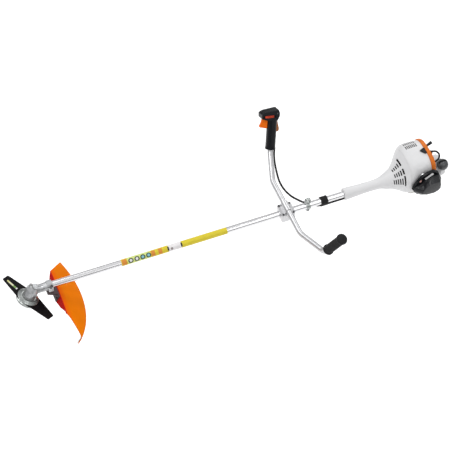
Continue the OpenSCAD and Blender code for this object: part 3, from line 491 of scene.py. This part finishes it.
def cover_at(x):
    """The cover's section at x, on a smooth curve through the table's rows."""
    i = max(j for j in range(len(COVER) - 1) if COVER[j][0] <= x)
    a, b = COVER[i], COVER[i + 1]
    before, after = COVER[max(i - 1, 0)], COVER[min(i + 2, len(COVER) - 1)]
    h = b[0] - a[0]
    s = (x - a[0]) / h
    out = []
    for k in range(1, 6):
        slope_a = (b[k] - before[k]) / (b[0] - before[0])
        slope_b = (after[k] - a[k]) / (after[0] - a[0])
        if a[0] <= 153:            # the neck's end is a sharp rim
            slope_a = (b[k] - a[k]) / h
        out.append((2 * s ** 3 - 3 * s * s + 1) * a[k] + (s ** 3 - 2 * s * s + s) * h * slope_a
                   + (3 * s * s - 2 * s ** 3) * b[k] + (s ** 3 - s * s) * h * slope_b)
    return out


def cover_point(x, angle, inset=0.0):
    cy, cz, hw, hh, sq = cover_at(x)
    c, s = math.cos(angle), math.sin(angle)
    e = 2 / sq
    y = cy + (hw - inset) * math.copysign(abs(c) ** e, c)
    z = cz + (hh - inset) * math.copysign(abs(s) ** e, s)
    return x, y, z


def dish(x, y, z):
    """Depth of the shallow round recess pressed into the hood beside its latch."""
    away = math.sqrt(((x - 446) / 34) ** 2 + ((y + 30) / 30) ** 2)
    if z <= 60 or away >= 1:
        return 0
    rise = max(0.0, (away - 0.72) / 0.28)
    return 1.9 * (1 - rise ** 2 * (3 - 2 * rise))


def cover_rings(stations, inset=0.0, sides=112):
    rings = []
    for x in stations:
        ring = []
        for j in range(sides):
            a = 2 * math.pi * j / sides
            px, y, z = cover_point(x, a, inset)
            drop = 0 if inset else dish(px, y, z)
            ring.append(tube(px, y, z - drop))
        rings.append(ring)
    return rings


def arc_cutter(x0, x1, a0, a1, r0=24, r1=104):
    steps = max(2, int((a1 - a0) / 3))
    rings = []
    for i in range(steps + 1):
        a = math.radians(a0 + (a1 - a0) * i / steps)
        c, s = math.cos(a), math.sin(a)
        rings.append([tube(x0, r0 * c, r0 * s), tube(x1, r0 * c, r0 * s), tube(x1, r1 * c, r1 * s),
                      tube(x0, r1 * c, r1 * s)])
    return skin(rings)


def stations(a, b, step):
    n = max(1, round((b - a) / step))
    return [a + (b - a) * i / n for i in range(n + 1)]


JOIN = 404             # where the fan cover meets the hood
front = joined("fan_cover", [skin(cover_rings([150, 151.2, 153] + stations(154, JOIN - 0.4, 4.2)))])
mouth = []
for j in range(64):
    c, s = math.cos(2 * math.pi * j / 64), math.sin(2 * math.pi * j / 64)
    mouth.append(tube(JOIN + 6, 9 + 77 * math.copysign(abs(c) ** .74, c),
                      18 + 78 * math.copysign(abs(s) ** .74, s)))
inner_rings = cover_rings(stations(300, 402, 5) + [JOIN - 0.4], 2.6, 64)
front = boolean(front, joined("fan_hollow", [skin(inner_rings + [mouth])]), "DIFFERENCE")
# groups of slots: how many, the angles they run between, and those of the last, longer one
slots = []
for count, a0, a1, b0, b1 in [(5, 74, 92, 64, 94), (5, 106, 124, 105, 123), (6, 135, 162, 128, 168)]:
    for i in range(6 - count, 6):
        x = 347.3 + 7 * i
        slots.append(arc_cutter(x, x + (4.2 if i < 5 else 5), *((a0, a1) if i < 5 else (b0, b1))))
front = boolean(front, joined("vents", slots), "DIFFERENCE")
piece("fan_housing_cover", front, "white_plastic", angle=28, stands_for=("fan_housing",))

REAR = 506             # the hood's rear edge
hood = joined("hood", [skin(cover_rings([JOIN, JOIN + 0.6] + stations(406, REAR - 1, 4.2) + [REAR]))])
core = cover_rings(stations(JOIN + 0.01, REAR - 0.01, 5), 2.8, 64)
past = Vector((0.003, 0, 0))
core = [[p - past for p in core[0]]] + core + [[p + past for p in core[-1]]]
hood = boolean(hood, joined("hood_hollow", [skin(core)]), "DIFFERENCE")
cuts = [block(tube, (420, -34, -90), (510, 60, -44)), block(tube, (477, 50, -95), (523, 80, -46)),
        skin([[tube(448 + 11.5 * math.cos(a), y, 62 + 11.5 * math.sin(a))
               for a in (2 * math.pi * j / 40 for j in range(40))] for y in (-90, -50)])]
for y, reach in ((34, 18), (57, 14)):
    for i in range(7):
        cuts.append(block(tube, (423 + i * 7, y, 80), (427.2 + i * 7, y + reach, 120)))
for i in range(6):
    cuts.append(block(tube, (430 + i * 7, 70, 24), (433.6 + i * 7, 130, 58)))
for n, cut in enumerate(cuts[:3]):
    hood = boolean(hood, raw_mesh(f"hood_cut_{n}", *cut), "DIFFERENCE")
hood = boolean(hood, joined("hood_slots", cuts[3:]), "DIFFERENCE")
piece("engine_hood_cover", hood, "white_plastic", angle=28, stands_for=("engine_hood",))


def slot_shade_sheet(name, xs, a0, a1, depth, material):
    """A dark sheet behind a group of slots, painted shade standing for the shaded inside of the cover."""
    angles = [math.radians(a0 + (a1 - a0) * j / 16) for j in range(17)]
    sheet = [[tube(*cover_point(x, a, depth)) for a in angles] for x in xs]
    o = piece(name, joined(name, [skin(sheet, closed=False, caps=False)]), material)
    o.modifiers.new("sheet", "SOLIDIFY").thickness = 0.0010


# painted shade: dark sheets behind the vent slots
slot_shade_sheet("hood_slot_shade", stations(419, 475, 6), 44, 88, 6, "slot_liner")
slot_shade_sheet("fan_slot_shade", stations(345, 390, 6), 58, 172, 5.5, "liner_black")


# the orange trim band round the top and sides of the hood's rear edge
profile = [(487.6, 0.3), (487.9, 2.2), (488.8, 3.5), (490.2, 4.1), (497, 4.3), (503.6, 4.1), (505, 3.4),
           (505.8, 2.2), (506, 0.3)]
band = []
for k in range(81):
    a = math.radians(-30 + 3 * k)
    if cover_point(497, a)[2] >= 36:
        band.append([tube(*cover_point(x, a, -up)) for x, up in profile])
band = joined("band", [skin(band)])
piece("hood_trim_band", band, "band_plastic", angle=40, stands_for=("hood_band",), slot="orange_plastic")

# ---------- starter housing ----------

def starter_place(y, z, x):
    return tube(x, y, z)


DRUM = [(39.5, 504), (44, 504), (44, 553), (43.2, 557), (41, 560), (37.5, 561.6), (33, 562), (18, 562),
        (16.5, 561), (15, 560.2), (0, 560), (0, 556.5), (36, 556.5), (39.5, 553)]
drum = joined("drum", [skin(lathe(DRUM, starter_place, 96), caps=False)])
bm = bmesh.new()
bm.from_mesh(drum)
bmesh.ops.remove_doubles(bm, verts=bm.verts, dist=5e-5)
bmesh.ops.bridge_loops(bm, edges=[e for e in bm.edges if e.is_boundary])
bm.to_mesh(drum)
bm.free()
cuts = []
for i in range(14):
    a = 2 * math.pi * (i + 0.5) / 14

    def turned(x, r, s, a=a):
        return tube(x, r * math.cos(a) - s * math.sin(a), r * math.sin(a) + s * math.cos(a))
    cuts.append(block(turned, (552, 21, -2.1), (566, 34, 2.1)))
cuts.append(block(tube, (541, -46, 2), (551, -30, 22)))
drum = boolean(drum, joined("drum_cuts", cuts), "DIFFERENCE")
piece("starter_drum", drum, "white_plastic", angle=30, stands_for=("starter_housing",))
plate = joined("plate", [skin(cover_rings([500.8, 503.6], 3.2, 96))])
edge_round(piece("rear_plate", plate, "white_plastic"), 0.8)
post = joined("post", [skin(lathe([(5.9, 541), (5.9, 556.8)], starter_place, 32))])
edge_round(piece("pulley_post", post, "white_plastic"), 0.5)
ROPE = (546, -43)      # place of the starter rope along and across the tube
hole = [[tube(ROPE[0] + 2.6 * math.cos(a), ROPE[1] + 2.6 * math.sin(a), z)
         for a in (2 * math.pi * j / 24 for j in range(24))] for z in (0, 40)]
exit_block = boolean(raw_mesh("exit", *block(tube, (536, -55, 8), (556, -33, 34))),
                     joined("hole", [skin(hole)]), "DIFFERENCE")
edge_round(piece("rope_exit", exit_block, "white_plastic"), 3, 4)

# ---------- carried-over shapes with finished edges ----------

detail("gearbox_housing", width=1.2, segments=3)
detail("grease_plug", width=0.5)
detail("thrust_plate", material="disc_steel", width=0.6, segments=3)
detail("blade", width=0.45)
detail("rider_plate", material="disc_steel", width=0.8)
detail("collar_nut", width=0.5)
detail("deflector_bracket", width=1.6, segments=3)
detail("line_knife", width=0.3)
detail("drive_tube", width=0.3)
detail("carrying_eyelet", material="disc_steel", width=1.0, segments=3)
detail("cable_clip", width=0.8)
detail("clamp_screws", width=0.35)
detail("handlebar_seat", material="bar_alloy", width=1.6, segments=3)
detail("handlebar_cap", material="bar_alloy", width=1.6, segments=3)
detail("control_shell_left", width=2.2, segments=3)
detail("control_shell_right", width=2.2, segments=3)
detail("throttle_trigger", material="trigger_plastic", width=1.6, segments=3)
detail("lock_lever", width=1.6, segments=3)
detail("stop_slide", width=0.7)
detail("hood_latches", width=0.9)
detail("filter_housing", width=1.6, segments=3)
detail("choke_lever", width=0.7)
detail("primer_bulb", width=0)
detail("fuel_tank", width=5.0, segments=4)
detail("fuel_cap", width=0.8)
detail("starter_grip", material="grip_plastic", width=1.2, segments=3)
# painted shade: a thin black plate laid in the grip's groove stands for the shade in it
strip = raw_mesh("strip", *block(tube, (527.8, -46.9, 66.8), (564.2, -39.1, 67.2)))
piece("starter_grip_groove_shade", strip, "liner_black", "pull_grip")
detail("muffler", width=0.5)

# ---------- air filter cover ----------

# outlines of the cover's edge and of its outer face, along the tube and up
COVER_EDGE = [(399, 18), (410, 37), (428, 40), (436, 45), (445, 55), (460, 66), (472, 74), (506, 69),
              (515, 50), (518, 20), (516, 0), (510, -17), (497, -27), (476, -30), (440, -22), (414, -4)]
COVER_FACE = [(424, 16), (440, 46), (459, 60), (499, 58), (503, 42), (503, 20), (494, 9), (478, 2),
              (446, 5)]
CENTRE = (466, 26)


def outline_radii(points, count, softening):
    """Distances from CENTRE to an outline in equal turns, with softened corners."""
    out = []
    for k in range(count):
        a = 2 * math.pi * k / count
        dx, dz = math.cos(a), math.sin(a)
        best = 0
        for (x0, z0), (x1, z1) in zip(points, points[1:] + points[:1]):
            ex, ez, px, pz = x1 - x0, z1 - z0, x0 - CENTRE[0], z0 - CENTRE[1]
            det = ex * dz - ez * dx
            if abs(det) > 1e-9:
                s = (dx * pz - dz * px) / det
                r = (ex * pz - ez * px) / det
                if -1e-6 <= s <= 1 + 1e-6 and r > best:
                    best = r
        out.append(best)
    for _ in range(softening):
        out = [(out[k - 1] + 2 * out[k] + out[(k + 1) % count]) / 4 for k in range(count)]
    return out


edge = outline_radii(COVER_EDGE, 144, 3)
face = outline_radii(COVER_FACE, 144, 5)


def cover_ring(y, inset, toward, scale=1.0):
    """A ring of the cover: inset from its edge, carried part of the way toward its face."""
    ring = []
    for k, (e, f) in enumerate(zip(edge, face)):
        r = ((e - inset) * (1 - toward) + f * toward) * scale
        a = 2 * math.pi * k / len(edge)
        ring.append(tube(CENTRE[0] + r * math.cos(a), y, CENTRE[1] + r * math.sin(a)))
    return ring


# the rim, the slope up to the outer face, and the slightly domed face
rings = [cover_ring(y, inset, 0) for y, inset in ((-92.2, 0.6), (-92.8, 0), (-97.0, 0), (-97.8, 0.5),
                                                  (-98.1, 1.6), (-98.0, 3.2), (-98.9, 3.9))]
rings += [cover_ring(-99.5 - 20.5 * s, 4.2, s ** 1.25 * 0.93) for s in (0, .1, .25, .4, .55, .7, .82, .92, 1)]
rings += [cover_ring(-121.2, 4, 0.965), cover_ring(-122, 4, 1.0)]
rings += [cover_ring(-122 - 1.6 * (1 - s * s), 4, 1.0, s) for s in (.9, .75, .55, .35, .15)]
piece("filter_cover_shell", joined("filter_cover", [skin(rings)]), "filter_plastic", angle=38,
      stands_for=("filter_cover",), slot="black_plastic")

# ---------- deflector ----------

# the sheet is part of a drum round GUARD_AXIS, with rows of radius and height, cut to PLAN from above
GUARD_AXIS = (-130, 10)
GUARD = [(215, 12), (233, 12), (258, 8), (300, -1), (330, -8), (346, -13), (352, -20), (352.5, -50)]
PLAN = [(103, -108), (110, -114), (119, -129), (129, -156), (137, -178), (145, -204), (220, -330),
        (420, -330), (420, 378), (263, 236), (109, 98), (103, 92)]
top = [Vector((r, w, 0)) for r, w in GUARD]
outer = curve_points(top, 4)
inner_line = []
for i, p in enumerate(outer):
    d = (outer[min(i + 1, len(outer) - 1)] - outer[max(i - 1, 0)]).normalized()
    inner_line.append(p + Vector((d.y, -d.x, 0)) * 3.0)
loop = outer + inner_line[::-1]
rings = []
for k in range(73):
    a = math.radians(-50 + 90 * k / 72)
    c, s = math.cos(a), math.sin(a)
    rings.append([head(GUARD_AXIS[0] + p.x * c, GUARD_AXIS[1] + p.x * s, p.y) for p in loop])
shell = joined("guard_sheet", [skin(rings)])
outline = [[head(u, v, w) for u, v in PLAN] for w in (-80, 60)]
shell = boolean(shell, joined("guard_plan", [skin(outline)]), "INTERSECT")
piece("deflector_sheet", shell, "orange_plastic", angle=30, stands_for=("deflector_shell",))
FLANK = [(-104, 6.4), (-60, 9.3), (0, 10.6), (50, 9.6), (88, 7.4), (88, 3), (70, -16), (24, -26),
         (-22, -27), (-66, -14)]
wall = joined("guard_wall", [skin([[head(u, v, w) for v, w in FLANK] for u in (103.02, 106.02)])])
edge_round(piece("deflector_front_wall", wall, "orange_plastic"), 1.0)

# ---------- drive tube labels ----------

WRAP = (20, 215)


def label(name, x0, x1, a0, a1, material, lift=0.16):
    """A thin wrap on the tube between two angles from +Y towards +Z."""
    n = 24
    rings = []
    for x in stations(x0, x1, 12):
        ring = []
        for r in (TUBE_R + lift, TUBE_R):
            angles = [math.radians(a0 + (a1 - a0) * j / n) for j in range(n + 1)]
            for a in (angles if r > TUBE_R else angles[::-1]):
                ring.append(tube(x, r * math.cos(a), r * math.sin(a)))
        rings.append(ring)
    piece(name, joined(name, [skin(rings)]), material, angle=40)


def disc(name, x, angle, radius, material, lift):
    """A thin round patch on the tube's label."""
    rings = []
    for up, share in [(lift, 1)] + [(lift + 0.07, k / 6) for k in (6, 5, 4, 3, 2, 1)]:
        ring = []
        for j in range(28):
            b = 2 * math.pi * j / 28
            a = math.radians(angle) + share * radius * math.sin(b) / TUBE_R
            r = TUBE_R + up
            ring.append(tube(x + share * radius * math.cos(b), r * math.cos(a), r * math.sin(a)))
        rings.append(ring)
    piece(name, joined(name, [skin(rings)]), material, angle=40)


label("label_long", -517, -333, *WRAP, "label_yellow")
label("label_plain", -569, -517, *WRAP, "label_white")
for i, x in enumerate((-573, -520)):
    label(f"label_bar_{i}", x, x + 6, 92, 165, "label_dark", 0.22)
label("label_front", -755, -569, *WRAP, "label_yellow")
label("label_front_green", -731, -640, *WRAP, "label_green", 0.2)
for i, (x0, x1) in enumerate(((-752, -734), (-637, -622), (-609, -594))):
    label(f"label_mark_{i}", x0, x1, 75, 180, "label_orange", 0.22)
for i, x in enumerate((-718, -694, -671, -648)):
    disc(f"label_ring_{i}", x, 132, 9.8, "label_moss", 0.22)
    disc(f"label_dot_{i}", x, 132, 5.4, "label_white" if i < 2 else "label_blue", 0.32)
disc("label_spot", -556, 145, 5, "label_grey", 0.22)

# ---------- handlebar, cable and lead ----------

BAR_R = 11
CABLE_R = 3.9
LEAD_R = 3.5


def bar_path():
    c = BEND
    a, b = Vector((-89, 122, 30)), Vector((-89, 136, 30))
    d = (c - b).normalized()
    low, high, knee = c - 22 * d, c + 22 * UP_BAR, b + 14 * d

    def bend(p, q, r, n):
        return [(1 - t) ** 2 * p + 2 * t * (1 - t) * q + t * t * r for t in (i / n for i in range(n + 1))]
    return [Vector((-89, 0, 30))] + bend(a, b, knee, 8) + bend(low, c, high, 16)


half = bar_path()
right = half + [BEND + 92 * UP_BAR]
left = [Vector((p.x, -p.y, p.z)) for p in half + [BEND + 148 * UP_BAR, BEND + 150 * UP_BAR]]
path = [tube(*p) for p in left[::-1] + right[1:]]
piece("handlebar_tube", joined("bar", [skin(swept(path, BAR_R * MM, 40))]), "bar_alloy", angle=50,
      stands_for=("handlebar",), slot="tube_alloy")

CABLE = [(-30.1, 262.8, 62.4), (-34, 255, 46), (-38, 244, 36), (-44, 224, 28), (-52, 186, 19),
         (-58, 142, 11), (-55, 100, 7), (-42, 64, 3), (-24, 38, 1), (-7, 21, -2), (9, 17, -9),
         (26, 7, -16.4), (42, -3, -16.6), (58, -8, -14.8), (80, -9, -14), (115, -9, -14), (149.9, -9, -14)]
path = curve_points([tube(*p) for p in CABLE], 8)
jacket = joined("cable", [skin(swept(path, CABLE_R * MM, 18))])
piece("throttle_cable_jacket", jacket, "black_rubber", angle=60, stands_for=("throttle_cable",))
LEAD = [(516, 0, 98), (530, -6, 99), (541, -10, 88), (546, -12, 70), (540, -14, 54), (522, -16, 49),
        (505, -18, 54)]
path = curve_points([tube(*p) for p in LEAD], 10)
lead = skin(swept(path, LEAD_R * MM, 18))
axis = Vector((math.sin(math.radians(80)), 0, math.cos(math.radians(80))))
boot_path = [tube(456, 0, 84) + axis * s * MM for s in (40, 41, 44, 50, 52, 53, 56, 60, 62)]
boot = skin(swept(boot_path, [r * MM for r in (7.2, 8.2, 8.5, 8.5, 9.3, 9.3, 8.3, 7.6, 6.2)], 32))
lead = joined("lead", [lead, boot])
piece("ignition_lead_boot", lead, "black_rubber", angle=50, stands_for=("ignition_lead",))

# ---------- left grip ----------

profile = [(11.1, 30), (16, 30), (19.8, 30.4), (21, 31.5), (21, 34), (20, 35.4), (17.4, 36.6)]
z = 38.0
while z < 148:
    profile += [(17, z), (17.1, z + 1.2), (18.2, z + 2.1), (18.2, z + 4.6), (17.1, z + 5.5)]
    z += 6.9
profile += [(17.3, 151), (20, 152), (21, 153.2), (21, 156), (20, 158), (16, 160.6), (8, 161), (0, 161)]
grip_mesh = joined("grip", [skin(lathe(profile, lambda x, y, h: grip(-1, x, y, h), 64))])
piece("left_grip_rubber", grip_mesh, "black_rubber", angle=40, stands_for=("left_grip",))

# ---------- starter rope ----------

rings = []
for i in range(41):
    zz = 30 + 9.9 * i / 40
    ring = []
    for j in range(24):
        a = 2 * math.pi * j / 24
        r = 1.5 + 0.1 * math.cos(6 * a + i * 0.9) * math.cos(6 * a - i * 0.9)
        ring.append(tube(ROPE[0] + r * math.cos(a), ROPE[1] + r * math.sin(a), zz))
    rings.append(ring)
rope = piece("starter_rope_braid", joined("rope", [skin(rings)]), "rope_fibre", body=None, angle=60,
             stands_for=("starter_rope",))
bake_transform(rope)

# ---------- blade strip ----------

def blade_place(x, y, z):
    """Local X runs out along the blade arm that carries the strip, at rest."""
    a = math.radians(-56 + 180)
    return head(x * math.cos(a) - y * math.sin(a), x * math.sin(a) + y * math.cos(a), z)


for name, x0, x1, material in [("tip", 90, 100, "label_pale"), ("long", 70, 90, "label_cream"),
                               ("leaf", 56, 70, "label_leaf"), ("end", 50, 56, "label_white")]:
    me = raw_mesh(name, *block(blade_place, (x0, 1.5, -36.6), (x1, 10, -36.38)))
    piece("blade_strip_" + name, me, material, "cutter")

# ---------- floor ----------

HALF = 40.0
corners = [(-HALF, -HALF, 0), (HALF, -HALF, 0), (HALF, HALF, 0), (-HALF, HALF, 0)]
floor = bpy.data.objects.new("floor", raw_mesh("floor", corners, [(0, 1, 2, 3)]))
floor.location.z = -0.95
floor.data.materials.append(materials["floor_paper"])
scene.collection.objects.link(floor)
